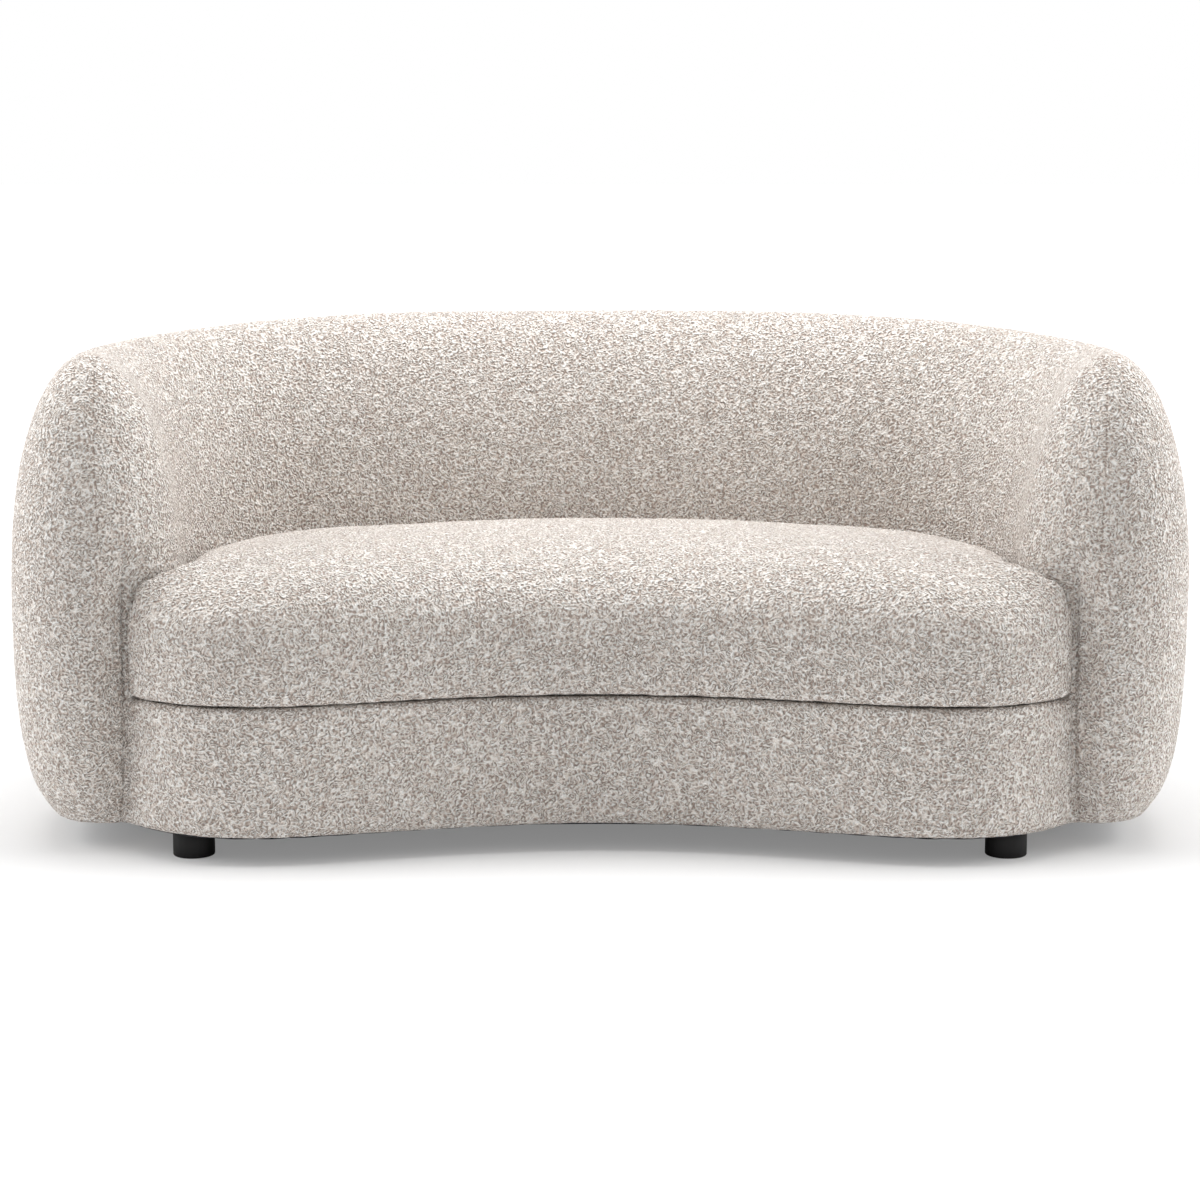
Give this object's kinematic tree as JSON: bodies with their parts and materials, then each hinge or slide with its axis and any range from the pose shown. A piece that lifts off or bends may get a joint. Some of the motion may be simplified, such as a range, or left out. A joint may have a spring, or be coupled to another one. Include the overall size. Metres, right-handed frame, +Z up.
{
  "type": "curved sofa",
  "caption": "Low curved two-seat sofa: one rounded wrap-around back and arms, a kidney-shaped seat with a loose cushion, nubbly cream cover and short round black legs.",
  "frame": {"origin": "on the floor, under the middle of the sofa's bounding box", "axes": "+X across the sofa, from its left arm to its right arm as seen from the front; -Y towards the person in front of it, so +Y points to its back; +Z up"},
  "size_m": [1.8, 0.866, 0.772],
  "materials": {
    "boucle": "matte",
    "lining": "matte",
    "wadding": "matte",
    "foam": "matte",
    "plywood": "matte",
    "webbing": "matte",
    "black_wood": "satin",
    "steel": "satin"
  },
  "bodies": {
    "sofa_body": {"body_cover": "boucle", "inner_back_foam": "foam", "outer_back_foam": "foam", "centre_back_rib": "plywood", "right_back_rib": "plywood", "left_back_rib": "plywood", "right_corner_rib": "plywood", "left_corner_rib": "plywood", "right_arm_rib": "plywood", "left_arm_rib": "plywood", "right_arm_post": "plywood", "left_arm_post": "plywood", "top_rail": "plywood", "base_plate": "plywood", "seat_ring": "plywood", "front_rail": "plywood", "rear_rail": "plywood", "right_side_rail": "plywood", "left_side_rail": "plywood", "left_stretcher": "plywood", "right_stretcher": "plywood", "webbing_1": "webbing", "webbing_2": "webbing", "webbing_3": "webbing", "webbing_4": "webbing", "webbing_5": "webbing", "webbing_6": "webbing", "webbing_7": "webbing", "webbing_8": "webbing", "webbing_9": "webbing", "deck_pad": "wadding", "base_cover": "boucle", "front_foam": "foam", "platform_cloth": "lining", "dust_cover": "webbing", "front_left_leg": "black_wood", "front_left_leg_bolt": "steel", "front_left_leg_nut": "steel", "front_right_leg": "black_wood", "front_right_leg_bolt": "steel", "front_right_leg_nut": "steel", "rear_left_leg": "black_wood", "rear_left_leg_bolt": "steel", "rear_left_leg_nut": "steel", "rear_right_leg": "black_wood", "rear_right_leg_bolt": "steel", "rear_right_leg_nut": "steel"},
    "seat_cushion": {"seat_cover": "boucle", "seat_cover_base": "lining", "seat_core": "foam", "seat_topper": "wadding"}
  },
  "joints": [
    {"name": "seat_cushion_lift", "type": "slide", "parent": "sofa_body", "child": "seat_cushion", "axis": [0, 0, 1], "range_m": [0, 0.3]}
  ]
}
